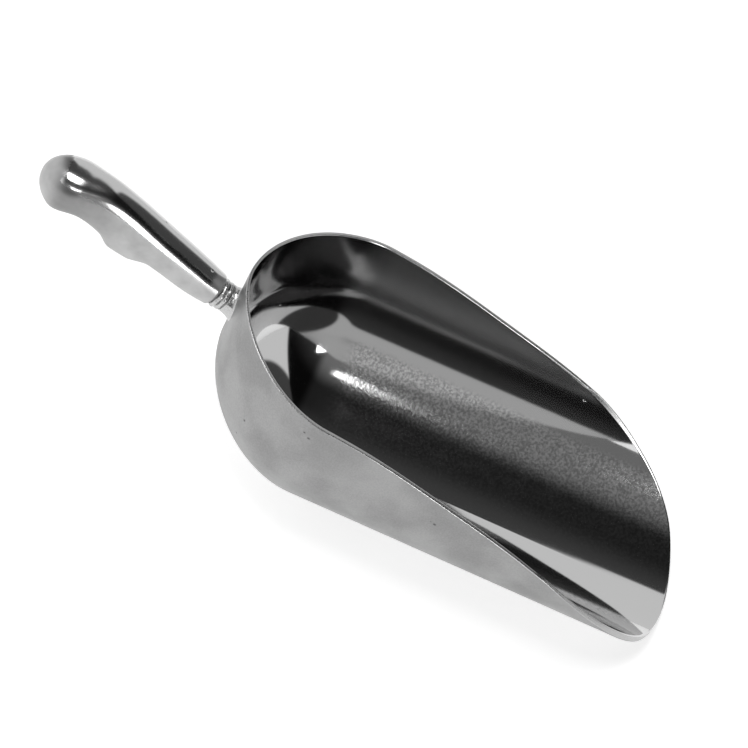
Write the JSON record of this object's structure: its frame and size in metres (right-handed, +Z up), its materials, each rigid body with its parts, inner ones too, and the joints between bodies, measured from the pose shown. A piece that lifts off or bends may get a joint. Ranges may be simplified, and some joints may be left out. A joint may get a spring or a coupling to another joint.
{
  "type": "ice scoop",
  "caption": "Cast aluminium scoop: round-bottomed bowl with a swept rim and a contoured grip welded to its back wall.",
  "frame": {"origin": "centre of the bounding box, on the plane that the bowl's bottom rests on", "axes": "+Z up, +Y from the mouth to the grip, +X to the right seen from the mouth's side looking along +Y"},
  "size_m": [0.112, 0.3464, 0.1159],
  "materials": {
    "bowl_aluminium": "polished inside, satin outside",
    "handle_aluminium": "polished crown, satin sides",
    "weld_aluminium": "bright weld metal"
  },
  "bodies": {
    "root": {"bowl": "bowl_aluminium", "handle": "handle_aluminium", "root_weld": "weld_aluminium", "middle_weld_bead": "weld_aluminium", "outer_weld_bead": "weld_aluminium"}
  },
  "joints": []
}
